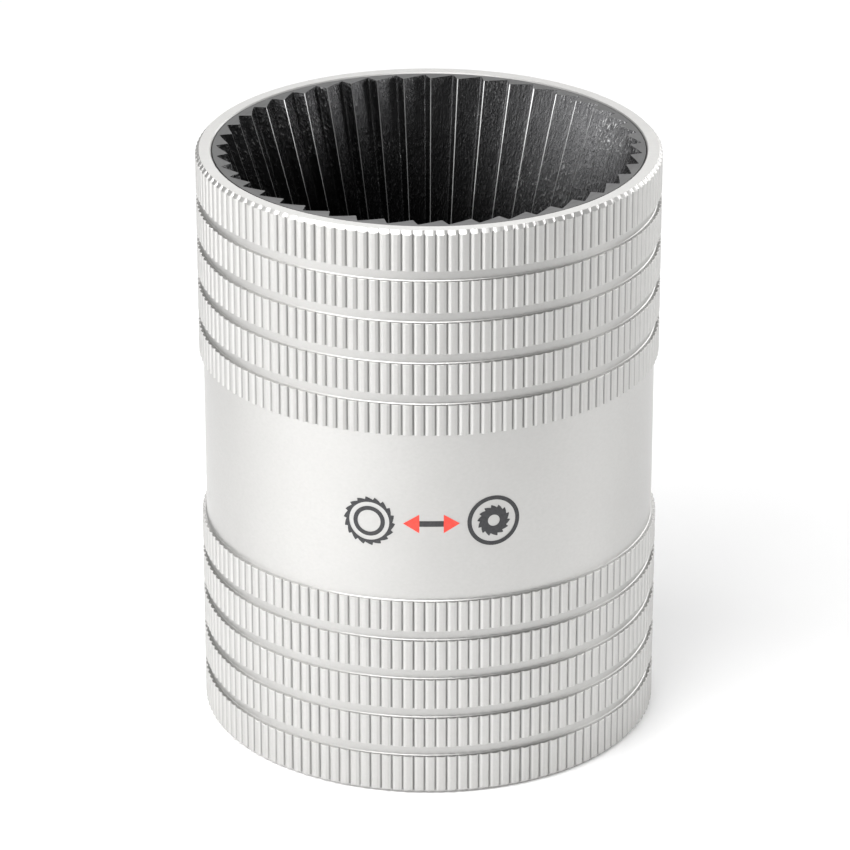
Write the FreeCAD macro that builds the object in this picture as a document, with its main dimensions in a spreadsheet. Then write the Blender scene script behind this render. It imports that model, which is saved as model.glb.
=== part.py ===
import FreeCAD, Part
import math
import os

import Sketcher

# Two-ended pipe and tube deburring tool, in millimetres.
# +Z is up along the barrel's axis, and the origin is the centre of the bottom rim, where the tool stands.
# A toothed funnel opens at the top for the outside edge of a tube, and a toothed cone points down inside the
# bottom opening for the inside edge.

DRIVING_SIZES = [
    # barrel outside
    ("barrel_height", 91.0),
    ("ridge_radius", 35.0),
    ("plain_radius", 34.32),
    ("edge_chamfer", 0.55),
    ("end_band_height", 6.2),
    ("band_height", 4.8),
    ("ring_groove_width", 1.65),
    ("bands_per_group", 5),
    ("band_edge_chamfer", 0.15),
    # straight knurl
    ("knurl_count", 132),
    ("knurl_root_radius", 34.68),
    ("knurl_groove_width", 0.74),
    ("knurl_start_angle", 1.62),
    # barrel inside
    ("bore_radius", 31.5),
    ("bore_chamfer", 0.5),
    ("seat_radius", 32.62),
    ("seat_chamfer", 0.18),
    ("rib_radius", 29.0),
    ("rib_height", 4.0),
    ("rib_bottom", 61.0),
    # outer cutter, the toothed funnel
    ("funnel_tooth_count", 45),
    ("funnel_mouth_radius", 30.25),
    ("funnel_slope", 0.325),
    ("funnel_root_ratio", 1.0545),
    ("funnel_land_angle", 0.3),
    ("funnel_steep_angle", 1.45),
    ("funnel_root_flat_angle", 0.3),
    ("funnel_start_angle", 1.3),
    ("funnel_rim_recess", 0.12),
    ("funnel_rim_radius", 32.55),
    ("funnel_rim_chamfer", 0.12),
    ("funnel_bottom", 22.0),
    ("funnel_tail_radius", 10.6),
    ("funnel_tail_ratio", 1.055),
    ("spigot_radius", 28.9),
    ("spigot_gap", 0.3),
    # inner cutter, the toothed cone
    ("cone_tooth_count", 36),
    ("cone_nose_height", 3.0),
    ("cone_nose_radius", 6.0),
    ("cone_base_height", 50.0),
    ("cone_base_radius", 25.0),
    ("cone_root_ratio", 0.94),
    ("cone_land_angle", 0.4),
    ("cone_steep_angle", 1.8),
    ("cone_root_flat_angle", 0.4),
    ("flange_radius", 31.3),
    ("flange_chamfer", 0.25),
    ("taper_clearance", 0.1),
    ("nose_hole_radius", 4.0),
    # drive bush and its pin
    ("bush_bottom", 8.0),
    ("bush_radius", 6.0),
    ("bush_flange_bottom", 20.0),
    ("bush_flange_radius", 9.2),
    ("bush_flange_clearance", 0.1),
    ("bush_chamfer", 0.4),
    ("drive_socket_flats", 6.5),
    ("drive_pin_radius", 1.0),
    ("drive_pin_length", 4.0),
    ("drive_pin_bottom", 17.5),
    # cap screws, spring washers and locating pins
    ("screw_count", 6),
    ("screw_circle_radius", 28.0),
    ("screw_radius", 1.5),
    ("screw_hole_radius", 1.7),
    ("screw_length", 16.0),
    ("screw_head_radius", 2.75),
    ("screw_head_height", 3.0),
    ("screw_socket_flats", 2.5),
    ("screw_socket_depth", 1.3),
    ("screw_chamfer", 0.25),
    ("screw_well_radius", 2.85),
    ("screw_well_depth", 4.0),
    ("screw_hole_top", 70.4),
    ("washer_outer_radius", 2.75),
    ("washer_inner_radius", 1.6),
    ("washer_height", 0.8),
    ("washer_slit", 0.5),
    ("washer_slit_lean", 25.0),
    ("pin_count", 3),
    ("pin_first_angle", 30.0),
    ("pin_circle_radius", 30.8),
    ("pin_radius", 1.25),
    ("pin_length", 8.0),
    ("pin_depth_in_rib", 3.2),
    ("pin_end_clearance", 0.3),
    ("pin_chamfer", 0.25),
    # how far a cutting outline runs past the surface it cuts
    ("overcut", 1.0),
]

# Sizes worked out in the sheet from the driving sizes.
DERIVED_SIZES = [
    ("grooves_per_group", "=bands_per_group - 1"),
    ("band_pitch", "=band_height + ring_groove_width"),
    ("group_height", "=end_band_height + (bands_per_group - 1) * band_pitch"),
    ("shoulder_height", "=rib_bottom + rib_height"),
    ("funnel_top", "=barrel_height - funnel_rim_recess"),
    ("funnel_apex", "=barrel_height - funnel_mouth_radius / funnel_slope"),
    ("funnel_tail_slope", "=funnel_slope * funnel_tail_ratio"),
    ("spigot_bottom", "=rib_bottom + spigot_gap"),
    ("funnel_neck_radius", "=funnel_tail_radius + (spigot_bottom - funnel_bottom) * funnel_tail_slope"),
    ("cone_slope", "=(cone_base_radius - cone_nose_radius) / (cone_base_height - cone_nose_height)"),
    ("cone_apex", "=cone_nose_height - cone_nose_radius / cone_slope"),
    ("cavity_tail_radius", "=funnel_tail_radius + taper_clearance"),
    ("cavity_neck_radius", "=cavity_tail_radius + (rib_bottom - funnel_bottom) * funnel_tail_slope"),
    ("screw_seat", "=cone_base_height + screw_well_depth - washer_height"),
    ("screw_bottom", "=screw_seat - screw_head_height"),
    ("screw_well_top", "=cone_base_height + screw_well_depth"),
    ("pin_bottom", "=shoulder_height - pin_depth_in_rib"),
]

# The least share of a ring of holes that has to lie inside the material.
# The pin holes lie partly in the open bore.
LEAST_CUT_SHARE = 0.3

doc = FreeCAD.newDocument("deburring_tool")
sheet = doc.addObject("Spreadsheet::Sheet", "sizes")


def write_sheet():
    """One row per size: its name in column A, its value in column B under an alias of the same name."""
    for row, (name, value) in enumerate(DRIVING_SIZES + DERIVED_SIZES, start=1):
        sheet.set("A%d" % row, name)
        sheet.set("B%d" % row, str(value))
        sheet.setAlias("B%d" % row, name)
    doc.recompute()


def size(name):
    """The value of one size, read from the sheet."""
    return float(sheet.get(name))


def linked(expression):
    """An expression over sheet names, such as 'rib_bottom + rib_height', with each one made a reference."""
    names = sorted((name for name, _ in DRIVING_SIZES + DERIVED_SIZES), key=len, reverse=True)
    words = expression.split(" ")
    return " ".join("sizes." + word if word in names else word for word in words)


def origin_feature(body, role):
    """One of a body's own origin planes or axes."""
    return next(item for item in body.Origin.OriginFeatures if item.Role == role)


def new_sketch(body, name, plane):
    """A sketch on one of the body's origin planes."""
    sketch = body.newObject("Sketcher::SketchObject", name)
    sketch.AttachmentSupport = [(origin_feature(body, plane), "")]
    sketch.MapMode = "FlatFace"
    return sketch


def hold_point(sketch, geometry, end, axis, expression):
    """Fix one point of a sketch along one axis, bound to the sheet."""
    index = sketch.addConstraint(Sketcher.Constraint(axis, -1, 1, geometry, end, value_of(expression)))
    if expression != "0":
        sketch.setExpression("Constraints[%d]" % index, linked(expression))


def value_of(expression):
    """The present value of a sum of sheet names and numbers, with spaces around each + and -."""
    total = 0.0
    sign = 1.0
    for word in expression.split(" "):
        if word in ("+", "-"):
            sign = 1.0 if word == "+" else -1.0
        elif word[0].isdigit():
            total += sign * float(word)
        else:
            total += sign * size(word)
    return total


def sketch_outline(sketch, corners):
    """A closed outline whose corners are pairs of expressions: the distance across and the distance up."""
    count = len(corners)
    rough = [FreeCAD.Vector(value_of(across), value_of(up), 0) for across, up in corners]
    for i in range(count):
        sketch.addGeometry(Part.LineSegment(rough[i], rough[(i + 1) % count]), False)
    for i in range(count):
        sketch.addConstraint(Sketcher.Constraint("Coincident", i, 2, (i + 1) % count, 1))
    for i, (across, up) in enumerate(corners):
        hold_point(sketch, i, 1, "DistanceX", across)
        hold_point(sketch, i, 1, "DistanceY", up)


def turn(body, name, corners, cut=False):
    """Turn an outline of radius and height pairs about the Z axis, as material or as a cut."""
    sketch = new_sketch(body, name + "_section", "XZ_Plane")
    sketch_outline(sketch, corners)
    kind = "PartDesign::Groove" if cut else "PartDesign::Revolution"
    feature = body.newObject(kind, name)
    feature.Profile = sketch
    feature.ReferenceAxis = (sketch, ["V_Axis"])
    feature.Angle = 360.0
    body.Tip = feature
    doc.recompute()
    return feature


def new_body(label):
    """An empty body named and labelled with the piece's name."""
    body = doc.addObject("PartDesign::Body", label)
    body.Label = label
    return body


def turned_body(label, corners):
    """A piece turned from one outline of radius and height pairs."""
    body = new_body(label)
    turn(body, label + "_turned", corners)
    return body


def drill_ring(body, name, centre, radius, bottom, depth, count, first_angle=0.0):
    """Round holes cut upward from a height, spaced evenly on a circle about the axis."""
    sketch = new_sketch(body, name + "_circle", "XY_Plane")
    turned = FreeCAD.Rotation(FreeCAD.Vector(0, 0, 1), first_angle)
    sketch.AttachmentOffset = FreeCAD.Placement(FreeCAD.Vector(0, 0, value_of(bottom)), turned)
    sketch.setExpression("AttachmentOffset.Base.z", linked(bottom))
    middle = FreeCAD.Vector(value_of(centre), 0, 0)
    sketch.addGeometry(Part.Circle(middle, FreeCAD.Vector(0, 0, 1), value_of(radius)), False)
    sketch.addConstraint(Sketcher.Constraint("PointOnObject", 0, 3, -1))
    hold_point(sketch, 0, 3, "DistanceX", centre)
    round_size = sketch.addConstraint(Sketcher.Constraint("Radius", 0, value_of(radius)))
    sketch.setExpression("Constraints[%d]" % round_size, linked(radius))
    uncut_volume = body.Shape.Volume
    pocket = body.newObject("PartDesign::Pocket", name)
    pocket.Profile = sketch
    pocket.Reversed = True
    pocket.setExpression("Length", linked(depth))
    body.Tip = pocket
    doc.recompute()
    pattern = body.newObject("PartDesign::PolarPattern", name + "_pattern")
    pattern.Originals = [pocket]
    pattern.Axis = (sketch, ["N_Axis"])
    pattern.Angle = 360.0
    pattern.setExpression("Occurrences", linked(count))
    body.Tip = pattern
    doc.recompute()
    full_cut = math.pi * value_of(radius) ** 2 * value_of(depth) * size(count)
    if uncut_volume - body.Shape.Volume < LEAST_CUT_SHARE * full_cut:
        raise ValueError(name + " cut too little")


def stack_up(body, groove, count):
    """Repeat a turned groove up the barrel at the band pitch."""
    pattern = body.newObject("PartDesign::LinearPattern", groove.Name + "_pattern")
    pattern.Originals = [groove]
    pattern.Direction = (groove.Profile[0], ["V_Axis"])
    pattern.setExpression("Length", linked("band_pitch") + " * (" + linked(count) + " - 1)")
    pattern.setExpression("Occurrences", linked(count))
    body.Tip = pattern
    doc.recompute()


def boolean(kind, label, base, tool):
    """A Part boolean of two objects, such as Part::Cut."""
    result = doc.addObject(kind, label)
    result.Label = label
    result.Base = base
    result.Tool = tool
    doc.recompute()
    return result


def shape_object(label, shape):
    """A document object that holds a shape made by a formula."""
    holder = doc.addObject("Part::Feature", label)
    holder.Label = label
    holder.Shape = shape
    holder.Placement = FreeCAD.Placement()
    return holder


def polar_point(radius, degrees, height):
    """A point given by its radius, its angle counter-clockwise from +X and its height."""
    angle = math.radians(degrees)
    return FreeCAD.Vector(radius * math.cos(angle), radius * math.sin(angle), height)


def closed_wire(points):
    """A closed polygon through the points."""
    return Part.makePolygon(points + points[:1])


def saw_ring(tip_radius, root_radius, height, count, start, land, steep, flat, falling):
    """A ring of saw teeth at one height.

    Each tooth has a narrow land at its tip, a steep cutting face and a flat at its root. The steep face lies
    counter-clockwise of the land, or clockwise of it where falling is True.
    """
    pitch = 360.0 / count
    hand = -1.0 if falling else 1.0
    points = []
    for tooth in range(count):
        tip = start + hand * tooth * pitch
        points.append(polar_point(tip_radius, tip, height))
        points.append(polar_point(tip_radius, tip + hand * land, height))
        points.append(polar_point(root_radius, tip + hand * (land + steep), height))
        points.append(polar_point(root_radius, tip + hand * (land + steep + flat), height))
    return closed_wire(points)


def saw_cone(apex, slope, root_ratio, bottom, top, count, start, land, steep, flat, falling):
    """A solid toothed cone whose tips and roots all run to one apex."""
    rings = []
    for height in (bottom, top):
        tip_radius = (height - apex) * slope
        root_radius = tip_radius * root_ratio
        rings.append(saw_ring(tip_radius, root_radius, height, count, start, land, steep, flat, falling))
    return Part.makeLoft(rings, True, True)


def make_housing():
    """The knurled barrel: turned bands and bore, then the straight knurl cut through the bands."""
    body = turned_body("turned_barrel", [
        ("bore_radius + bore_chamfer", "0"),
        ("ridge_radius - edge_chamfer", "0"),
        ("ridge_radius", "edge_chamfer"),
        ("ridge_radius", "barrel_height - edge_chamfer"),
        ("ridge_radius - edge_chamfer", "barrel_height"),
        ("bore_radius", "barrel_height"),
        ("bore_radius", "bore_chamfer"),
    ])
    turn(body, "plain_band", [
        ("plain_radius", "group_height"),
        ("ridge_radius + overcut", "group_height"),
        ("ridge_radius + overcut", "barrel_height - group_height"),
        ("plain_radius", "barrel_height - group_height"),
    ], cut=True)
    lower = turn(body, "lower_groove", groove_outline("end_band_height"), cut=True)
    stack_up(body, lower, "grooves_per_group")
    upper = turn(body, "upper_groove", groove_outline("barrel_height - group_height + band_height"), cut=True)
    stack_up(body, upper, "grooves_per_group")
    turn(body, "cutter_seat", [
        ("bore_radius - overcut", "shoulder_height"),
        ("seat_radius", "shoulder_height"),
        ("seat_radius", "barrel_height - seat_chamfer"),
        ("seat_radius + seat_chamfer", "barrel_height"),
        ("seat_radius + seat_chamfer", "barrel_height + overcut"),
        ("bore_radius - overcut", "barrel_height + overcut"),
    ], cut=True)
    turn(body, "rib", [
        ("rib_radius", "rib_bottom"),
        ("bore_radius + overcut", "rib_bottom"),
        ("bore_radius + overcut", "shoulder_height"),
        ("rib_radius", "shoulder_height"),
    ])
    drill_ring(body, "pin_holes", "pin_circle_radius", "pin_radius", "pin_bottom",
               "pin_depth_in_rib + overcut", "pin_count", size("pin_first_angle"))
    return boolean("Part::Common", "housing", body, make_knurl_prism())


def groove_outline(bottom):
    """The section of one ring groove between two knurled bands, with a small chamfer on each band's edge."""
    lower_lip = bottom + " - band_edge_chamfer"
    top = bottom + " + ring_groove_width"
    upper_lip = top + " + band_edge_chamfer"
    return [
        ("plain_radius", bottom),
        ("ridge_radius - band_edge_chamfer", bottom),
        ("ridge_radius", lower_lip),
        ("ridge_radius + overcut", lower_lip),
        ("ridge_radius + overcut", upper_lip),
        ("ridge_radius", upper_lip),
        ("ridge_radius - band_edge_chamfer", top),
        ("plain_radius", top),
    ]


def make_knurl_prism():
    """A full-height prism larger than the barrel, with one V-groove for each groove of the straight knurl."""
    count = int(size("knurl_count"))
    ridge = size("ridge_radius")
    root = size("knurl_root_radius")
    half_angle = math.degrees(size("knurl_groove_width") / 2 / ridge)
    outer = ridge + size("overcut")
    # The V's sides are straight, so the opening grows in proportion beyond the ridge radius.
    outer_half_angle = half_angle * (outer - root) / (ridge - root) * ridge / outer
    points = []
    for groove in range(count):
        middle = size("knurl_start_angle") + groove * 360.0 / count
        points.append(polar_point(outer, middle - outer_half_angle, 0))
        points.append(polar_point(root, middle, 0))
        points.append(polar_point(outer, middle + outer_half_angle, 0))
    face = Part.Face(closed_wire(points))
    return shape_object("knurl_prism", face.extrude(FreeCAD.Vector(0, 0, size("barrel_height"))))


def make_outer_cutter():
    """The toothed funnel: a turned blank with a seat flange, a spigot and a tail, and broached teeth inside."""
    blank = turned_body("funnel_blank", [
        ("0", "funnel_bottom"),
        ("funnel_tail_radius", "funnel_bottom"),
        ("funnel_neck_radius", "spigot_bottom"),
        ("spigot_radius", "spigot_bottom"),
        ("spigot_radius", "shoulder_height"),
        ("funnel_rim_radius", "shoulder_height"),
        ("funnel_rim_radius", "funnel_top - funnel_rim_chamfer"),
        ("funnel_rim_radius - funnel_rim_chamfer", "funnel_top"),
        ("0", "funnel_top"),
    ])
    drill_ring(blank, "screw_threads", "screw_circle_radius", "screw_radius", "spigot_bottom",
               "screw_hole_top - spigot_bottom", "screw_count")
    drill_ring(blank, "pin_sockets", "pin_circle_radius", "pin_radius", "shoulder_height",
               "pin_length - pin_depth_in_rib + pin_end_clearance", "pin_count", size("pin_first_angle"))
    teeth = shape_object("funnel_teeth", saw_cone(
        size("funnel_apex"), size("funnel_slope"), size("funnel_root_ratio"),
        size("funnel_bottom") - size("overcut"), size("barrel_height") + size("overcut"),
        int(size("funnel_tooth_count")), size("funnel_start_angle"), size("funnel_land_angle"),
        size("funnel_steep_angle"), size("funnel_root_flat_angle"), False))
    return boolean("Part::Cut", "outer_cutter", blank, teeth)


def make_inner_cutter():
    """The toothed cone under its clamping flange, bored out to sit over the funnel and the drive bush."""
    flange = turned_body("cone_flange", [
        ("0", "cone_base_height"),
        ("flange_radius - flange_chamfer", "cone_base_height"),
        ("flange_radius", "cone_base_height + flange_chamfer"),
        ("flange_radius", "rib_bottom"),
        ("0", "rib_bottom"),
    ])
    drill_ring(flange, "screw_wells", "screw_circle_radius", "screw_well_radius", "cone_base_height",
               "screw_well_depth", "screw_count")
    drill_ring(flange, "screw_holes", "screw_circle_radius", "screw_hole_radius", "screw_well_top",
               "rib_bottom - screw_well_top", "screw_count")
    teeth = shape_object("cone_teeth", saw_cone(
        size("cone_apex"), size("cone_slope"), size("cone_root_ratio"),
        size("cone_nose_height"), size("cone_base_height"),
        int(size("cone_tooth_count")), 0.0, size("cone_land_angle"),
        size("cone_steep_angle"), size("cone_root_flat_angle"), True))
    cavity = turned_body("cone_cavity", [
        ("0", "cone_nose_height - overcut"),
        ("nose_hole_radius", "cone_nose_height - overcut"),
        ("nose_hole_radius", "bush_bottom"),
        ("bush_radius", "bush_bottom"),
        ("bush_radius", "bush_flange_bottom"),
        ("bush_flange_radius + bush_flange_clearance", "bush_flange_bottom"),
        ("bush_flange_radius + bush_flange_clearance", "funnel_bottom"),
        ("cavity_tail_radius", "funnel_bottom"),
        ("cavity_neck_radius", "rib_bottom"),
        ("cavity_neck_radius", "rib_bottom + overcut"),
        ("0", "rib_bottom + overcut"),
    ])
    solid = boolean("Part::Fuse", "cone_solid", flange, teeth)
    bored = boolean("Part::Cut", "bored_cone", solid, cavity)
    return boolean("Part::Cut", "inner_cutter", bored, make_drive_pin_drill("cone_pin_drill"))


def make_drive_pin_drill(label):
    """The round hole for the drive pin, half in the bush's flange and half in the cone."""
    drill = doc.addObject("Part::Cylinder", label)
    drill.Label = label
    drill.setExpression("Radius", "sizes.drive_pin_radius")
    drill.setExpression("Height", "sizes.funnel_bottom - sizes.drive_pin_bottom")
    drill.setExpression("Placement.Base.x", "sizes.bush_flange_radius")
    drill.setExpression("Placement.Base.z", "sizes.drive_pin_bottom")
    return drill


def hexagon(label, flats, depth, bottom):
    """A hexagonal prism given by expressions for its size across flats, depth and bottom height."""
    prism = doc.addObject("Part::Prism", label)
    prism.Label = label
    prism.Polygon = 6
    prism.setExpression("Circumradius", linked(flats) + " / sqrt(3)")
    prism.setExpression("Height", linked(depth))
    prism.setExpression("Placement.Base.z", linked(bottom))
    return prism


def make_drive_bush():
    """The flanged bush in the cone's nose, with a hexagon socket right through it."""
    blank = turned_body("bush_blank", [
        ("0", "bush_bottom"),
        ("bush_radius - bush_chamfer", "bush_bottom"),
        ("bush_radius", "bush_bottom + bush_chamfer"),
        ("bush_radius", "bush_flange_bottom"),
        ("bush_flange_radius", "bush_flange_bottom"),
        ("bush_flange_radius", "funnel_bottom"),
        ("0", "funnel_bottom"),
    ])
    socket = hexagon("drive_socket", "drive_socket_flats", "funnel_bottom - bush_bottom + overcut + overcut",
                     "bush_bottom - overcut")
    broached = boolean("Part::Cut", "broached_bush", blank, socket)
    return boolean("Part::Cut", "drive_bush", broached, make_drive_pin_drill("bush_pin_drill"))


def make_pin(label, radius, length, chamfer):
    """A dowel pin standing on the origin, chamfered at both ends."""
    return turned_body(label, [
        ("0", "0"),
        (radius + " - " + chamfer, "0"),
        (radius, chamfer),
        (radius, length + " - " + chamfer),
        (radius + " - " + chamfer, length),
        ("0", length),
    ])


def make_screw(label):
    """A socket head cap screw standing on its head, with its shank pointing up."""
    blank = turned_body(label + "_blank", [
        ("0", "0"),
        ("screw_head_radius - screw_chamfer", "0"),
        ("screw_head_radius", "screw_chamfer"),
        ("screw_head_radius", "screw_head_height"),
        ("screw_radius", "screw_head_height"),
        ("screw_radius", "screw_head_height + screw_length - screw_chamfer"),
        ("screw_radius - screw_chamfer", "screw_head_height + screw_length"),
        ("0", "screw_head_height + screw_length"),
    ])
    socket = hexagon(label + "_socket", "screw_socket_flats", "screw_socket_depth", "0")
    return boolean("Part::Cut", label, blank, socket)


def make_spring_washer(label):
    """A split spring washer, pressed flat, with a leaning slit on its +X side."""
    ring = turned_body(label + "_ring", [
        ("washer_inner_radius", "0"),
        ("washer_outer_radius", "0"),
        ("washer_outer_radius", "washer_height"),
        ("washer_inner_radius", "washer_height"),
    ])
    slit = doc.addObject("Part::Box", label + "_slit")
    slit.Label = label + "_slit"
    slit.setExpression("Length", "sizes.washer_outer_radius")
    slit.setExpression("Width", "sizes.washer_slit")
    slit.setExpression("Height", "sizes.washer_height * 3")
    lean = FreeCAD.Rotation(FreeCAD.Vector(1, 0, 0), size("washer_slit_lean"))
    slit.Placement = FreeCAD.Placement(FreeCAD.Vector(0, 0, 0), lean)
    slit.setExpression("Placement.Base.x", "sizes.washer_inner_radius / 2")
    slit.setExpression("Placement.Base.z", "-sizes.washer_height")
    return boolean("Part::Cut", label, ring, slit)


def place_on_circle(piece, circle, angle, height):
    """Move a piece from the origin to its place on a circle about the barrel's axis."""
    turn_round = FreeCAD.Rotation(FreeCAD.Vector(0, 0, 1), angle)
    piece.Placement = FreeCAD.Placement(FreeCAD.Vector(0, 0, 0), turn_round)
    piece.setExpression("Placement.Base.x", "%s * cos(%g)" % (linked(circle), angle))
    piece.setExpression("Placement.Base.y", "%s * sin(%g)" % (linked(circle), angle))
    piece.setExpression("Placement.Base.z", linked(height))


def ring_of(name, count, first_angle, circle, height, make):
    """Identical pieces spaced evenly on a circle, each an object of its own."""
    pieces = []
    for i in range(int(size(count))):
        piece = make("%s_%d" % (name, i + 1))
        place_on_circle(piece, circle, first_angle + i * 360.0 / size(count), height)
        pieces.append(piece)
    return pieces


def locating_pin(label):
    """One of the pins that keep the funnel from turning in the barrel."""
    return make_pin(label, "pin_radius", "pin_length", "pin_chamfer")


def check_document():
    """Stop if any object failed to compute."""
    doc.recompute()
    for item in doc.Objects:
        if "Invalid" in item.State or "Error" in item.State:
            raise ValueError(item.Name + " did not compute")


def export(piece):
    """Write one piece to the file named by its label."""
    shape = piece.Shape
    if shape.isNull() or not shape.isValid() or not shape.Solids:
        raise ValueError(piece.Label + " has no valid solid")
    shape.exportStep("parts/%s.step" % piece.Label)
    print("%-18s %10.1f mm3  %d solids" % (piece.Label, shape.Volume, len(shape.Solids)))


write_sheet()
pieces = [make_housing(), make_outer_cutter(), make_inner_cutter(), make_drive_bush()]
drive_pin = make_pin("drive_pin", "drive_pin_radius", "drive_pin_length", "pin_chamfer")
place_on_circle(drive_pin, "bush_flange_radius", 0.0, "drive_pin_bottom")
pieces.append(drive_pin)
pieces += ring_of("cutter_screw", "screw_count", 0.0, "screw_circle_radius", "screw_bottom", make_screw)
pieces += ring_of("spring_washer", "screw_count", 0.0, "screw_circle_radius", "screw_seat",
                  make_spring_washer)
pieces += ring_of("locating_pin", "pin_count", size("pin_first_angle"), "pin_circle_radius", "pin_bottom",
                  locating_pin)
check_document()
os.makedirs("parts", exist_ok=True)
for piece in pieces:
    export(piece)
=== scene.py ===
import math

import bpy
import numpy as np
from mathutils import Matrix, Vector


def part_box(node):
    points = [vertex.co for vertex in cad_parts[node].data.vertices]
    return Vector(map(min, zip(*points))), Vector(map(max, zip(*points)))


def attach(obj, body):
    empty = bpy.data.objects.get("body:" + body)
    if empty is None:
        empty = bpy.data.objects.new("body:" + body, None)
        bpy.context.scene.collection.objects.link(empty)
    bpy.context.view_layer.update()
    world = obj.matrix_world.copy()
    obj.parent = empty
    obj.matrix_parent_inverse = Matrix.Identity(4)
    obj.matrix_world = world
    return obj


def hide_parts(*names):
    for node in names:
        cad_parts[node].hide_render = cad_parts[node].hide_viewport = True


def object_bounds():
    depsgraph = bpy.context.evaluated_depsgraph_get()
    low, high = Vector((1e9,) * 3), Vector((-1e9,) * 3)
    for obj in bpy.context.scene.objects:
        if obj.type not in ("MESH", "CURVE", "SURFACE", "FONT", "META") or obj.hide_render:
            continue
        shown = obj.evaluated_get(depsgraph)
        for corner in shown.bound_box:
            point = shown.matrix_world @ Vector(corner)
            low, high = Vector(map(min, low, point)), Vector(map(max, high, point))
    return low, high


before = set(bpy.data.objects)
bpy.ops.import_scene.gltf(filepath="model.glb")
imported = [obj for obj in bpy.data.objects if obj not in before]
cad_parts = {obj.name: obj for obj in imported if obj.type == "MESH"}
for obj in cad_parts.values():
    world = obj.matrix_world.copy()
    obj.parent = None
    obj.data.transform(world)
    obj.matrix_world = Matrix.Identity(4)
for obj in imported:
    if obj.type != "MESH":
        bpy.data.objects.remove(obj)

# A two-ended deburring tool standing on a white sweep. Lengths are metres and angles are degrees,
# counter-clockwise from +X. The CAD frame gives the places, and the finer surface detail is made here.

MM = 0.001
cad_low, cad_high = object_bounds()
rng = np.random.default_rng(7)


def polar(radius, degrees, height):
    """Points as an (n, 3) array from radii, angles and heights, any of which may be a single number."""
    angle = np.radians(np.asarray(degrees, float))
    radius = np.asarray(radius, float) * np.ones_like(angle)
    height = np.asarray(height, float) * np.ones_like(angle)
    return np.stack([radius * np.cos(angle), radius * np.sin(angle), height], axis=-1)


# ---------------------------------------------------------------- materials


class Nodes:
    """A material's node tree with short calls for the nodes used here."""

    def __init__(self, name):
        self.material = bpy.data.materials.new(name)
        self.material.use_nodes = True
        self.tree = self.material.node_tree
        self.tree.nodes.clear()
        self.shader = self.tree.nodes.new("ShaderNodeBsdfPrincipled")
        output = self.tree.nodes.new("ShaderNodeOutputMaterial")
        self.link(self.shader.outputs["BSDF"], output.inputs["Surface"])
        coordinates = self.tree.nodes.new("ShaderNodeTexCoord")
        self.place = coordinates.outputs["Object"]

    def link(self, source, target):
        self.tree.links.new(source, target)

    def feed(self, target, value):
        """Set a socket to a number or colour, or link it to another socket."""
        if isinstance(value, bpy.types.NodeSocket):
            self.link(value, target)
        else:
            target.default_value = value

    def math(self, operation, first, second=0.0):
        node = self.tree.nodes.new("ShaderNodeMath")
        node.operation = operation
        for socket, value in zip(node.inputs, (first, second)):
            self.feed(socket, value)
        return node.outputs[0]

    def split(self, vector):
        node = self.tree.nodes.new("ShaderNodeSeparateXYZ")
        self.feed(node.inputs[0], vector)
        return node.outputs

    def join(self, x, y, z):
        node = self.tree.nodes.new("ShaderNodeCombineXYZ")
        for socket, value in zip(node.inputs, (x, y, z)):
            self.feed(socket, value)
        return node.outputs[0]

    def around(self, across, along):
        """Coordinates that follow a round piece: arc length scaled by across, and height scaled by along."""
        x, y, z = self.split(self.place)
        angle = self.math("ARCTAN2", y, x)
        # The angle goes in as a circle, so that the texture has no seam.
        ring_x = self.math("MULTIPLY", self.math("COSINE", angle), across)
        ring_y = self.math("MULTIPLY", self.math("SINE", angle), across)
        return self.join(ring_x, ring_y, self.math("MULTIPLY", z, along))

    def noise(self, vector, scale, detail=3.0, roughness=0.55):
        node = self.tree.nodes.new("ShaderNodeTexNoise")
        self.feed(node.inputs["Vector"], vector)
        node.inputs["Scale"].default_value = scale
        node.inputs["Detail"].default_value = detail
        node.inputs["Roughness"].default_value = roughness
        return node.outputs["Fac"]

    def ramp(self, value, low, high, to_low=0.0, to_high=1.0):
        node = self.tree.nodes.new("ShaderNodeMapRange")
        node.clamp = True
        self.feed(node.inputs["Value"], value)
        node.inputs["From Min"].default_value = low
        node.inputs["From Max"].default_value = high
        node.inputs["To Min"].default_value = to_low
        node.inputs["To Max"].default_value = to_high
        return node.outputs["Result"]

    def blend(self, factor, first, second):
        node = self.tree.nodes.new("ShaderNodeMix")
        node.data_type = "RGBA"
        self.feed(node.inputs[0], factor)
        self.feed(node.inputs[6], first)
        self.feed(node.inputs[7], second)
        return node.outputs[2]

    def attribute(self, name):
        node = self.tree.nodes.new("ShaderNodeAttribute")
        node.attribute_name = name
        return node.outputs["Fac"]

    def bump(self, height, distance, strength=1.0, under=None):
        node = self.tree.nodes.new("ShaderNodeBump")
        node.inputs["Distance"].default_value = distance
        node.inputs["Strength"].default_value = strength
        self.feed(node.inputs["Height"], height)
        if under is not None:
            self.feed(node.inputs["Normal"], under)
        return node.outputs["Normal"]


def grey(level):
    return (level, level, level, 1.0)


def warm(level):
    return (level, level * 0.992, level * 0.972, 1.0)


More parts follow.
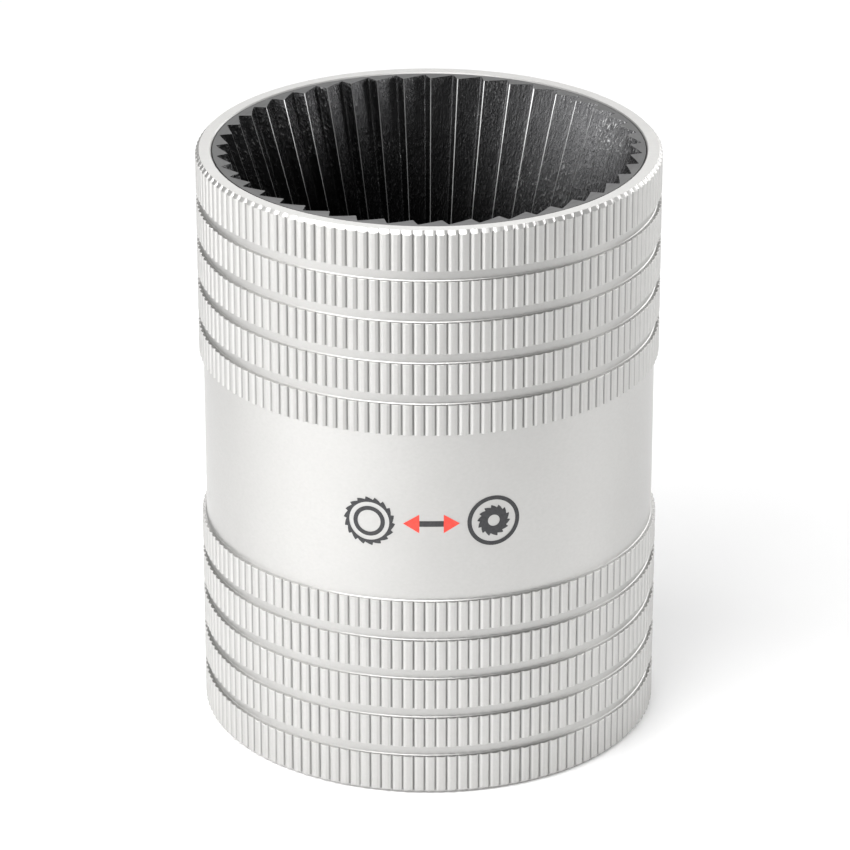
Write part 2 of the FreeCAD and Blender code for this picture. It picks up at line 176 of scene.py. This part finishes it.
def satin_aluminium(name, level, streaks):
    """Fine-turned, satin anodised aluminium. Streaks is how strongly the marks of the knurling tool show."""
    n = Nodes(name)
    grain = n.noise(n.place, scale=9000.0, detail=2.0)
    cloud = n.noise(n.place, scale=60.0, detail=3.0)
    tool = n.noise(n.around(across=2.4, along=14.0), scale=260.0, detail=2.0)
    turning = n.noise(n.around(across=0.08, along=3.4), scale=700.0, detail=3.0)
    bright = n.blend(n.ramp(cloud, 0.35, 0.65), warm(level * 0.975), warm(level))
    bright = n.blend(n.ramp(tool, 0.3, 0.7, 0.0, streaks), bright, warm(level * 0.9))
    bright = n.blend(n.ramp(turning, 0.35, 0.7, 0.0, 0.7), bright, warm(level * 0.93))
    # Painted highlight: the knurl's flanks are painted lighter than its ridges. Painted shade: the root of
    # each groove is painted dark.
    depth = n.attribute("groove_depth")
    flank_painted_highlight = n.blend(n.ramp(depth, 0.1, 0.35), bright, warm(level * 1.04))
    # Painted shade in the root of each groove, down to 0.3 of the level.
    colour = n.blend(n.ramp(depth, 0.5, 0.97, 0.0, 0.8), flank_painted_highlight, warm(level * 0.3))
    n.feed(n.shader.inputs["Base Color"], colour)
    n.shader.inputs["Metallic"].default_value = 1.0
    satin = n.ramp(grain, 0.3, 0.7, 0.33, 0.41)
    n.feed(n.shader.inputs["Roughness"], n.math("ADD", satin, n.ramp(tool, 0.3, 0.7, 0.0, 0.05)))
    fine = n.bump(grain, distance=0.004 * MM, strength=0.6)
    turned = n.bump(turning, distance=0.004 * MM, strength=0.5, under=fine)
    n.feed(n.shader.inputs["Normal"], n.bump(tool, distance=0.012 * MM, strength=streaks, under=turned))
    return n.material


# Heights between which the flutes turn darker downward.
FLUTE_DARK_LOW = 72 * MM
FLUTE_DARK_HIGH = 85 * MM


def blackened_steel(name):
    """Hardened steel with an oiled black oxide coat, and the broach's grain and fine pits down the flutes."""
    n = Nodes(name)
    grain = n.noise(n.around(across=1.0, along=3.0), scale=150.0, detail=4.0, roughness=0.6)
    pits = n.noise(n.around(across=1.0, along=11.0), scale=140.0, detail=4.0, roughness=0.64)
    patch = n.noise(n.place, scale=90.0, detail=3.0)
    dark = n.blend(n.ramp(grain, 0.35, 0.7), (0.030, 0.030, 0.031, 1.0), (0.062, 0.062, 0.063, 1.0))
    worn = n.math("MULTIPLY", n.ramp(pits, 0.575, 0.65), n.ramp(patch, 0.47, 0.6, 0.08, 1.0))
    coat = n.blend(worn, dark, (0.24, 0.24, 0.24, 1.0))
    # The flutes are darker further down.
    height = n.split(n.place)[2]
    darker_down = n.ramp(height, FLUTE_DARK_LOW, FLUTE_DARK_HIGH, 0.55, 0.0)
    n.feed(n.shader.inputs["Base Color"], n.blend(darker_down, coat, (0.012, 0.012, 0.012, 1.0)))
    n.shader.inputs["Metallic"].default_value = 1.0
    gloss = n.ramp(patch, 0.35, 0.65, 0.18, 0.26)
    n.feed(n.shader.inputs["Roughness"], n.math("ADD", gloss, n.ramp(pits, 0.5, 0.7, 0.0, 0.12)))
    lined = n.bump(grain, distance=0.03 * MM, strength=0.9)
    n.feed(n.shader.inputs["Normal"], n.bump(pits, distance=0.11 * MM, strength=1.0, under=lined))
    return n.material


def ground_steel(name, level, rings):
    """Bare hardened steel, ground flat. Rings is how closely the grinding marks follow the rim."""
    n = Nodes(name)
    x, y, z = n.split(n.place)
    radius = n.math("SQRT", n.math("ADD", n.math("MULTIPLY", x, x), n.math("MULTIPLY", y, y)))
    across_rings = n.join(n.math("MULTIPLY", radius, rings), n.math("MULTIPLY", z, rings), 0.0)
    marks = n.noise(across_rings, scale=900.0, detail=3.0)
    patch = n.noise(n.place, scale=260.0, detail=3.0)
    colour = n.blend(n.ramp(patch, 0.3, 0.7), grey(level * 0.85), grey(level * 1.1))
    n.feed(n.shader.inputs["Base Color"], colour)
    n.shader.inputs["Metallic"].default_value = 1.0
    n.feed(n.shader.inputs["Roughness"], n.ramp(marks, 0.3, 0.7, 0.28, 0.42))
    n.feed(n.shader.inputs["Normal"], n.bump(marks, distance=0.004 * MM, strength=0.7))
    return n.material


def printed_ink(name, colour):
    """Screen-printed ink: slightly uneven in tone, with a soft gloss."""
    n = Nodes(name)
    mottle = n.noise(n.place, scale=2500.0, detail=3.0)
    lighter = tuple(min(1.0, c * 1.35 + 0.012) for c in colour) + (1.0,)
    n.feed(n.shader.inputs["Base Color"], n.blend(n.ramp(mottle, 0.35, 0.75), colour + (1.0,), lighter))
    n.feed(n.shader.inputs["Roughness"], n.ramp(mottle, 0.3, 0.7, 0.34, 0.46))
    n.feed(n.shader.inputs["Normal"], n.bump(mottle, distance=0.004 * MM, strength=0.5))
    return n.material


KNURLED = satin_aluminium("knurled_aluminium", 0.50, 0.45)
TURNED = satin_aluminium("turned_aluminium", 0.50, 0.06)
# Painted shade: the turned floors of the ring grooves get a darker copy of the aluminium, 0.45 against 0.50.
RECESS_PAINTED_SHADE = satin_aluminium("recess_painted_shade_aluminium", 0.45, 0.10)
BLACKENED = blackened_steel("blackened_steel")
GROUND = ground_steel("ground_steel", 0.09, 1.0)
LAND = ground_steel("ground_tooth_land", 0.22, 0.2)
BARE = ground_steel("bare_steel", 0.40, 0.4)
INK_DARK = printed_ink("dark_ink", (0.014, 0.014, 0.016))
INK_RED = printed_ink("red_ink", (0.62, 0.035, 0.02))

# ---------------------------------------------------------------- meshes


def ring_solid(name, loops, bands, groove_depth=None, sharp=32.0):
    """A closed ring-shaped solid from loops of points that go round its section.

    Each entry of bands is the material of the faces from that loop to the next, and the last joins the first.
    groove_depth, where given, is one value per point, kept for the materials.
    """
    columns = len(loops[0])
    count = len(loops)
    points = np.concatenate(loops)
    here = np.arange(columns)
    after = (here + 1) % columns
    faces = []
    slots = []
    materials = list(dict.fromkeys(bands))
    for i in range(count):
        a = i * columns
        b = ((i + 1) % count) * columns
        faces.append(np.stack([a + here, a + after, b + after, b + here], axis=-1))
        slots.append(np.full(columns, materials.index(bands[i])))
    mesh = bpy.data.meshes.new(name)
    mesh.from_pydata(points.tolist(), [], np.concatenate(faces).tolist())
    mesh.polygons.foreach_set("material_index", np.concatenate(slots).astype(np.int32))
    for material in materials:
        mesh.materials.append(material)
    if groove_depth is not None:
        layer = mesh.attributes.new("groove_depth", "FLOAT", "POINT")
        layer.data.foreach_set("value", np.concatenate(groove_depth).astype(np.float32))
    mesh.shade_smooth()
    mesh.set_sharp_from_angle(angle=math.radians(sharp))
    crease_loops(mesh, columns)
    mesh.validate()
    piece = bpy.data.objects.new(name, mesh)
    bpy.context.scene.collection.objects.link(piece)
    return piece


def crease_loops(mesh, columns):
    """Make every edge that runs round a loop sharp, so that each turned face stays true up to its edges."""
    ends = np.empty(len(mesh.edges) * 2, dtype=np.int32)
    mesh.edges.foreach_get("vertices", ends)
    ends = ends.reshape(-1, 2)
    runs_round = ends[:, 0] // columns == ends[:, 1] // columns
    sharp = mesh.attributes.get("sharp_edge") or mesh.attributes.new("sharp_edge", "BOOLEAN", "EDGE")
    flags = np.zeros(len(mesh.edges), dtype=bool)
    sharp.data.foreach_get("value", flags)
    sharp.data.foreach_set("value", flags | runs_round)


# ---------------------------------------------------------------- barrel

HOUSING_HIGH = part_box("housing")[1]
RIDGE_RADIUS = HOUSING_HIGH.x
BARREL_HEIGHT = HOUSING_HIGH.z
PLAIN_RADIUS = RIDGE_RADIUS - 0.68 * MM
ROOT_RADIUS = RIDGE_RADIUS - 0.34 * MM
SEAT_RADIUS = 32.62 * MM
BORE_RADIUS = 31.5 * MM
RIB_RADIUS = 29.0 * MM
RIB_BOTTOM = 61.0 * MM
SHOULDER = 65.0 * MM
END_CHAMFER = 0.55 * MM
SEAT_CHAMFER = 0.18 * MM
BORE_CHAMFER = 0.5 * MM
LIP = 0.04 * MM
TOOL_NOSE = 0.12 * MM
END_BAND = 6.2 * MM
BAND = 4.8 * MM
RING_GROOVE = 1.65 * MM
BANDS = 5
KNURL_COUNT = 132
KNURL_START = 1.62
KNURL_WIDTH = 0.92 * MM
# The flank as shares of half the groove's width and of its depth. It is straight, with a small radius in the
# root and at the edge of the ridge.
KNURL_FLANK = [(0.0, 1.0), (0.12, 0.9), (0.93, 0.13), (1.15, 0.015)]
# Where the ridge's two inner points lie, as shares of the pitch.
KNURL_CREST = (0.42, 0.58)
CROWN = 0.02 * MM
KNURL_SLIP = 0.02
KNURL_UNEVENNESS = 0.04
RIDGE_TILT = 0.45
RIDGE_WEAR = 0.0015 * MM


def knurl_section():
    """Angles from a groove's middle, and depths below the ridge, over one groove and one ridge."""
    half = math.degrees(KNURL_WIDTH / 2 / RIDGE_RADIUS)
    pitch = 360.0 / KNURL_COUNT
    depth = RIDGE_RADIUS - ROOT_RADIUS
    right = [(across * half, down * depth) for across, down in KNURL_FLANK]
    left = [(-angle, drop) for angle, drop in reversed(right[1:])]
    crest = [(pitch * share, 0.0) for share in KNURL_CREST]
    section = left + right + crest
    return np.array(section)


def knurl_columns():
    """Every column's angle and depth below the ridge, with small differences from ridge to ridge."""
    section = knurl_section()
    angles = []
    drops = []
    for i in range(KNURL_COUNT):
        middle = KNURL_START + i * 360.0 / KNURL_COUNT
        slip = rng.normal(0.0, KNURL_SLIP)
        bite = rng.normal(1.0, KNURL_UNEVENNESS)
        tilt = rng.normal(0.5, RIDGE_TILT)
        angles.append(middle + slip + section[:, 0])
        drop = section[:, 1] * bite
        drop[-2] += CROWN * max(0.0, tilt)
        drop[-1] += CROWN * max(0.0, 1.0 - tilt)
        drops.append(drop)
    return np.concatenate(angles), np.concatenate(drops)


def barrel_outline():
    """The turned outside from the bottom rim to the top rim: radius, height and whether the knurl cuts it."""
    group = END_BAND + (BANDS - 1) * (BAND + RING_GROOVE)
    outline = [(RIDGE_RADIUS - END_CHAMFER, 0.0, False), (RIDGE_RADIUS, END_CHAMFER, True)]
    lower = END_BAND
    upper = BARREL_HEIGHT - group
    for _ in range(BANDS - 1):
        outline += band_top(lower) + band_bottom(lower + RING_GROOVE)
        lower += RING_GROOVE + BAND
    outline += band_top(group)
    outline += band_bottom(upper)
    for _ in range(BANDS - 1):
        upper += BAND
        outline += band_top(upper) + band_bottom(upper + RING_GROOVE)
        upper += RING_GROOVE
    outline.append((RIDGE_RADIUS, BARREL_HEIGHT - END_CHAMFER, True))
    outline.append((RIDGE_RADIUS - END_CHAMFER, BARREL_HEIGHT, False))
    return outline


def band_top(height):
    """The upper edge of a knurled band, and the corner that the turning tool's nose leaves beside it."""
    return [
        (RIDGE_RADIUS, height - LIP, True),
        (RIDGE_RADIUS - LIP, height, True),
        (PLAIN_RADIUS + TOOL_NOSE, height, False),
        (PLAIN_RADIUS, height + TOOL_NOSE, False),
    ]


def band_bottom(height):
    """The lower edge of a knurled band, up from the turned floor beside it."""
    return [
        (PLAIN_RADIUS, height, False),
        (RIDGE_RADIUS - LIP, height, True),
        (RIDGE_RADIUS, height + LIP, True),
    ]


def make_barrel():
    angles, drops = knurl_columns()
    loops = []
    depths = []
    bands = []
    outline = barrel_outline()
    plain = np.zeros(len(angles))
    groove_depth = np.clip(drops / (RIDGE_RADIUS - ROOT_RADIUS), 0.0, 1.0)
    for i, (radius, height, knurled) in enumerate(outline):
        wear = -np.abs(rng.normal(0.0, RIDGE_WEAR, len(angles))) if knurled else 0.0
        cut = np.minimum(radius, RIDGE_RADIUS - drops) if knurled else radius
        loops.append(polar(cut + wear, angles, height))
        depths.append(groove_depth if knurled else plain)
        next_radius, next_height, next_knurled = outline[min(i + 1, len(outline) - 1)]
        is_ring_floor = radius == next_radius == PLAIN_RADIUS and next_height - height < 2 * RING_GROOVE
        if is_ring_floor:
            # The ring grooves' floors take the darker copy of the aluminium, which is painted shade.
            bands.append(RECESS_PAINTED_SHADE)
        else:
            bands.append(KNURLED if knurled and next_knurled else TURNED)
    inside = [
        (SEAT_RADIUS + SEAT_CHAMFER, BARREL_HEIGHT),
        (SEAT_RADIUS, BARREL_HEIGHT - SEAT_CHAMFER),
        (SEAT_RADIUS, SHOULDER),
        (RIB_RADIUS, SHOULDER),
        (RIB_RADIUS, RIB_BOTTOM),
        (BORE_RADIUS, RIB_BOTTOM),
        (BORE_RADIUS, BORE_CHAMFER),
        (BORE_RADIUS + BORE_CHAMFER, 0.0),
    ]
    for radius, height in inside:
        loops.append(polar(radius, angles, height))
        depths.append(plain)
        bands.append(TURNED)
    barrel = ring_solid("knurled_barrel", loops, bands, depths)
    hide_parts("housing")
    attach(barrel, "root")


# ---------------------------------------------------------------- funnel

FUNNEL_LOW, FUNNEL_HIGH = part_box("outer_cutter")
FUNNEL_TOP = FUNNEL_HIGH.z
FUNNEL_BOTTOM = FUNNEL_LOW.z
FUNNEL_TEETH = 45
FUNNEL_LEVELS = 30
FUNNEL_MOUTH = 30.25 * MM
FUNNEL_SLOPE = 0.325
FUNNEL_ROOT_RATIO = 1.0545
FUNNEL_START = 1.3
FUNNEL_APEX = BARREL_HEIGHT - FUNNEL_MOUTH / FUNNEL_SLOPE
FUNNEL_RIM = 32.55 * MM
FUNNEL_RIM_CHAMFER = 0.12 * MM
SPIGOT_RADIUS = 28.9 * MM
SPIGOT_BOTTOM = 61.3 * MM
NECK_RADIUS = 24.075 * MM
TAIL_RADIUS = 10.6 * MM
LAND_ANGLE = 0.3
STEEP_ANGLE = 1.45
ROOT_FLAT_ANGLE = 0.3
# The small radii on each side of the root flat: how wide each is, and its place from tip (0) to root (1).
STEEP_RADIUS_ANGLE = 0.12
STEEP_RADIUS_PLACE = 0.94
LONG_RADIUS_ANGLE = 0.14
LONG_RADIUS_PLACE = 0.985


def saw_columns():
    """Every column's angle and its place between tip (0) and root (1), over all the funnel's teeth."""
    pitch = 360.0 / FUNNEL_TEETH
    root = LAND_ANGLE + STEEP_ANGLE
    flat_end = root + ROOT_FLAT_ANGLE
    land_and_steep_face = [(0.0, 0.0), (LAND_ANGLE, 0.0), (LAND_ANGLE + 0.5 * STEEP_ANGLE, 0.5)]
    root_and_its_radii = [
        (root - STEEP_RADIUS_ANGLE, STEEP_RADIUS_PLACE),
        (root, 1.0),
        (flat_end, 1.0),
        (flat_end + LONG_RADIUS_ANGLE, LONG_RADIUS_PLACE),
    ]
    long_face = [(flat_end + share * (pitch - flat_end), 1.0 - share) for share in (0.25, 0.5, 0.75)]
    section = land_and_steep_face + root_and_its_radii + long_face
    one_tooth = np.array([angle for angle, _ in section])
    angles = np.concatenate([FUNNEL_START + i * pitch + one_tooth for i in range(FUNNEL_TEETH)])
    places = np.tile([place for _, place in section], FUNNEL_TEETH)
    land = np.tile([1.0] + [0.0] * (len(section) - 1), FUNNEL_TEETH)
    return angles, places, land


def make_funnel():
    angles, places, land = saw_columns()
    loops = []
    bands = []
    heights = np.linspace(FUNNEL_BOTTOM, FUNNEL_TOP, FUNNEL_LEVELS)
    for height in heights:
        tip = (height - FUNNEL_APEX) * FUNNEL_SLOPE
        radius = tip * (1.0 + (FUNNEL_ROOT_RATIO - 1.0) * places)
        loops.append(polar(radius, angles, height))
        bands.append(BLACKENED)
    bands[-1] = GROUND
    outside = [
        (FUNNEL_RIM - FUNNEL_RIM_CHAMFER, FUNNEL_TOP, BLACKENED),
        (FUNNEL_RIM, FUNNEL_TOP - FUNNEL_RIM_CHAMFER, BLACKENED),
        (FUNNEL_RIM, SHOULDER, BLACKENED),
        (SPIGOT_RADIUS, SHOULDER, BLACKENED),
        (SPIGOT_RADIUS, SPIGOT_BOTTOM, BLACKENED),
        (NECK_RADIUS, SPIGOT_BOTTOM, BLACKENED),
        (TAIL_RADIUS, FUNNEL_BOTTOM, BLACKENED),
    ]
    for radius, height, material in outside:
        loops.append(polar(radius, angles, height))
        bands.append(material)
    # The loops run up the inside and down the outside, so they are turned round to face outward.
    loops = [loop[::-1] for loop in loops]
    funnel = ring_solid("toothed_funnel", loops, bands, sharp=18.0)
    mark_lands(funnel, land[::-1], len(heights))
    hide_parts("outer_cutter")
    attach(funnel, "root")


def mark_lands(funnel, land, levels):
    """Give the narrow ground land along each tooth's tip its own finish."""
    mesh = funnel.data
    mesh.materials.append(LAND)
    slot = len(mesh.materials) - 1
    columns = len(land)
    # A face belongs to a column and the one after it, and the land lies between a tip's two columns.
    is_land = np.roll(land, -1) > 0.5
    for level in range(levels - 1):
        for column in np.flatnonzero(is_land):
            mesh.polygons[level * columns + int(column)].material_index = slot


# ---------------------------------------------------------------- printed mark

MARK_LIFT = 0.03 * MM
MARK_ANGLE = -89.4
MARK_HEIGHT = 44.6 * MM
MARK_SIDE = 9.3 * MM
MARK_TOOTH_DEPTH = 0.5 * MM
POINTS_PER_TOOTH = 8
POINTS_PER_PLAIN_RING = 96
ARROW_END = 4.2 * MM
ARROW_HEAD_LENGTH = 2.4 * MM
ARROW_HALF_SHAFT = 0.45 * MM
ARROW_HALF_HEAD = 1.5 * MM


def on_barrel(across, up):
    """Points on the plain band from distances across and up from the mark's middle."""
    turn = np.degrees(np.asarray(across, float) / PLAIN_RADIUS)
    return polar(PLAIN_RADIUS + MARK_LIFT, MARK_ANGLE + turn, MARK_HEIGHT + np.asarray(up, float))


def patch(name, grid_across, grid_up, ink, closed):
    """A printed shape from a grid of distances. Closed means that each row comes back to its start."""
    rows, columns = grid_across.shape
    points = on_barrel(grid_across.ravel(), grid_up.ravel())
    faces = []
    for r in range(rows - 1):
        for c in range(columns if closed else columns - 1):
            d = (c + 1) % columns
            faces.append((r * columns + c, r * columns + d, (r + 1) * columns + d, (r + 1) * columns + c))
    mesh = bpy.data.meshes.new(name)
    mesh.from_pydata(points.tolist(), [], faces)
    mesh.materials.append(ink)
    mesh.shade_smooth()
    mesh.validate()
    piece = bpy.data.objects.new(name, mesh)
    bpy.context.scene.collection.objects.link(piece)
    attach(piece, "root")


def toothed_ring(name, centre, inner, outer, teeth, teeth_outside, ink):
    """A ring whose inner or outer outline is a row of saw teeth."""
    points = teeth * POINTS_PER_TOOTH if teeth else POINTS_PER_PLAIN_RING
    turns = np.linspace(0.0, 2 * math.pi, points, endpoint=False)
    saw = (turns * teeth / (2 * math.pi)) % 1.0 if teeth else np.zeros_like(turns)
    bite = MARK_TOOTH_DEPTH * (saw - 1.0) if teeth else np.zeros_like(turns)
    low = inner + (0.0 if teeth_outside else bite)
    high = outer + (bite if teeth_outside else 0.0)
    low, high = low * np.ones_like(turns), high * np.ones_like(turns)
    share = np.linspace(0.0, 1.0, 4)[:, None]
    radius = low[None, :] * (1 - share) + high[None, :] * share
    return patch(name, centre + radius * np.cos(turns), radius * np.sin(turns), ink, True)


def arrow(name, start, end, ink_shaft, ink_head):
    """A straight arrow from start to end along the band, with its head at the end."""
    hand = 1.0 if end > start else -1.0
    neck = end - hand * ARROW_HEAD_LENGTH
    share = np.linspace(-1.0, 1.0, 5)[:, None]
    along = np.linspace(start, neck, 16)[None, :]
    patch(name + "_shaft", along + 0 * share, share * ARROW_HALF_SHAFT + 0 * along, ink_shaft, False)
    along = np.linspace(neck, end, 10)[None, :]
    taper = np.abs(end - along) / ARROW_HEAD_LENGTH * ARROW_HALF_HEAD
    patch(name + "_head", along + 0 * share, share * taper, ink_head, False)


def make_mark():
    toothed_ring("mark_outside_teeth", -MARK_SIDE, 3.05 * MM, 4.0 * MM, 18, True, INK_DARK)
    toothed_ring("mark_outside_tube", -MARK_SIDE, 1.75 * MM, 2.4 * MM, 0, True, INK_DARK)
    toothed_ring("mark_inside_tube", MARK_SIDE, 3.35 * MM, 4.0 * MM, 0, True, INK_DARK)
    toothed_ring("mark_inside_teeth", MARK_SIDE, 0.9 * MM, 2.6 * MM, 14, True, INK_DARK)
    arrow("mark_arrow_right", 0.0, ARROW_END, INK_DARK, INK_RED)
    arrow("mark_arrow_left", 0.0, -ARROW_END, INK_DARK, INK_RED)


# ---------------------------------------------------------------- pieces that keep their CAD shape


def finish_cad_nodes():
    finishes = {
        "inner_cutter": BLACKENED,
        "drive_bush": BARE,
        "drive_pin": BARE,
        "locating_pin": BARE,
        "cutter_screw": BLACKENED,
        "spring_washer": BARE,
    }
    for node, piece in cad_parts.items():
        for start, material in finishes.items():
            if node.startswith(start):
                piece.data.materials.clear()
                piece.data.materials.append(material)


# ---------------------------------------------------------------- floor, light and camera


FLOOR_HALF_SIDE = 3.0
FLOOR_GAP = 0.05 * MM


def make_floor():
    half = FLOOR_HALF_SIDE
    corners = [(-half, -half, 0), (half, -half, 0), (half, half, 0), (-half, half, 0)]
    mesh = bpy.data.meshes.new("floor")
    mesh.from_pydata(corners, [], [(0, 1, 2, 3)])
    n = Nodes("white_floor")
    fleck = n.noise(n.place, scale=40.0, detail=2.0)
    n.feed(n.shader.inputs["Base Color"], n.blend(fleck, grey(0.93), grey(0.95)))
    n.shader.inputs["Roughness"].default_value = 0.6
    mesh.materials.append(n.material)
    floor = bpy.data.objects.new("floor", mesh)
    floor.location.z = cad_low.z - FLOOR_GAP
    bpy.context.scene.collection.objects.link(floor)


# Each softbox: name, bearing from +X, elevation, distance, width, height and power in watts. All face the
# middle of the barrel.
SOFTBOXES = [
    ("side_left", -180, 15, 1.0, 0.5, 0.36, 4.3),
    ("key", -150, 15, 1.0, 0.5, 0.36, 5.4),
    ("front_left", -120, 15, 1.0, 0.5, 0.36, 3.2),
    ("side_right", 0, 15, 1.0, 0.5, 0.36, 4.8),
    ("back_right", 45, 15, 1.0, 0.5, 0.36, 1.9),
    ("back", 90, 36, 1.0, 0.5, 0.36, 1.4),
]
# Two small lamps hang over the floor, before and behind the tool: name, place, size and power in watts.
FLOOR_LAMPS = [
    ("floor_front", (-0.04, -0.09, 0.20), 0.14, 0.34),
    ("floor_back", (0.0, 0.15, 0.30), 0.2, 0.1),
]
SKY_STRENGTH = 0.44


def add_lamp(name, place, toward, width, height, power):
    light = bpy.data.lights.new(name, "AREA")
    light.shape = "RECTANGLE"
    light.size = width
    light.size_y = height
    light.energy = power
    lamp = bpy.data.objects.new(name, light)
    lamp.location = place
    lamp.rotation_mode = "QUATERNION"
    lamp.rotation_quaternion = toward.to_track_quat("-Z", "Y")
    bpy.context.scene.collection.objects.link(lamp)


def make_lights():
    middle = Vector((0.0, 0.0, BARREL_HEIGHT / 2))
    for name, bearing, elevation, distance, width, height, power in SOFTBOXES:
        across = distance * math.cos(math.radians(elevation))
        rise = distance * math.sin(math.radians(elevation))
        outward = Vector(polar(across, [bearing], rise)[0])
        add_lamp(name, middle + outward, -outward, width, height, power)
    for name, place, width, power in FLOOR_LAMPS:
        add_lamp(name, Vector(place), Vector((0.0, 0.0, -1.0)), width, width, power)
    world = bpy.data.worlds.new("studio")
    world.use_nodes = True
    background = world.node_tree.nodes["Background"]
    background.inputs["Color"].default_value = grey(1.0)
    background.inputs["Strength"].default_value = SKY_STRENGTH
    bpy.context.scene.world = world


CAMERA_DISTANCE = 718.6 * MM
CAMERA_ELEVATION = 23.96
CAMERA_AIM = Vector((-0.6 * MM, 0.0, 45.28 * MM))
CAMERA_LENS = 198.1
SENSOR = 36.0


def make_camera():
    data = bpy.data.cameras.new("camera")
    data.lens = CAMERA_LENS
    data.sensor_width = SENSOR
    data.clip_start = 0.05
    data.clip_end = 20.0
    camera = bpy.data.objects.new("camera", data)
    lift = math.radians(CAMERA_ELEVATION)
    back = Vector((0.0, -math.cos(lift), math.sin(lift)))
    camera.location = CAMERA_AIM + back * CAMERA_DISTANCE
    camera.rotation_mode = "QUATERNION"
    camera.rotation_quaternion = (-back).to_track_quat("-Z", "Y")
    bpy.context.scene.collection.objects.link(camera)
    bpy.context.scene.camera = camera


make_barrel()
make_funnel()
make_mark()
finish_cad_nodes()
make_floor()
make_lights()
make_camera()
bpy.context.scene.view_settings.view_transform = "Standard"
